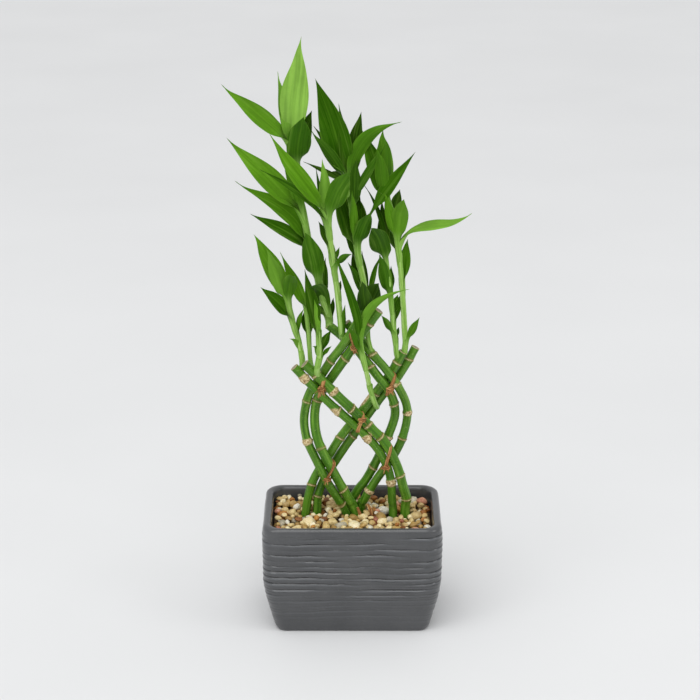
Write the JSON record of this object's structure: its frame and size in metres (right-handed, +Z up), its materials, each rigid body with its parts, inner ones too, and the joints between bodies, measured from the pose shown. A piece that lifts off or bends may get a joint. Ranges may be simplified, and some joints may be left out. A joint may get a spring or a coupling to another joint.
{
  "type": "potted lucky bamboo",
  "caption": "Cut bamboo canes bent and tied as an open lattice, with leafy shoots, standing in pebbles in a rectangular glazed pot.",
  "frame": {"origin": "centre of the pot's flat underside", "axes": "+Z up, +X to the right of the lattice's front view, -Y towards the front"},
  "size_m": [0.2175, 0.104, 0.5276],
  "materials": {
    "pot": "satin glaze",
    "pebbles": "matte",
    "stalk": "waxy green cane",
    "stem": "smooth pale green",
    "leaf": "thin glossy leaf",
    "raffia": "dry fibre"
  },
  "bodies": {
    "root": {"pot": "pot", "pebble_bed": "pebbles", "stalk_1": "stalk", "stalk_2": "stalk", "stalk_3": "stalk", "stalk_4": "stalk", "stalk_5": "stalk", "stalk_6": "stalk", "stalk_7": "stalk", "stalk_8": "stalk", "tie_upper_left": "raffia", "tie_upper_right": "raffia", "tie_centre": "raffia", "tie_lower_left": "raffia", "tie_lower_right": "raffia", "tie_top": "raffia", "shoot_01_stem": "stem", "shoot_02_stem": "stem", "shoot_03_stem": "stem", "shoot_04_stem": "stem", "shoot_05_stem": "stem", "shoot_06_stem": "stem", "shoot_07_stem": "stem", "shoot_08_stem": "stem", "shoot_09_stem": "stem", "shoot_10_stem": "stem", "shoot_01_leaves_lower": "leaf", "shoot_01_leaves_upper": "leaf", "shoot_02_leaves_upper": "leaf", "shoot_03_leaves_lower": "leaf", "shoot_03_leaves_upper": "leaf", "shoot_04_leaves_lower": "leaf", "shoot_04_leaves_middle": "leaf", "shoot_04_leaves_top": "leaf", "shoot_05_leaves_lower": "leaf", "shoot_05_leaves_upper": "leaf", "shoot_06_leaves_middle": "leaf", "shoot_06_leaves_upper": "leaf", "shoot_06_leaves_top": "leaf", "shoot_07_leaves_upper": "leaf", "shoot_08_leaves_upper": "leaf", "shoot_09_leaves_lower": "leaf", "shoot_09_leaves_middle": "leaf", "shoot_09_leaves_top": "leaf", "shoot_10_leaves_lower": "leaf", "shoot_10_leaves_middle": "leaf", "shoot_10_leaves_top": "leaf"}
  },
  "joints": []
}
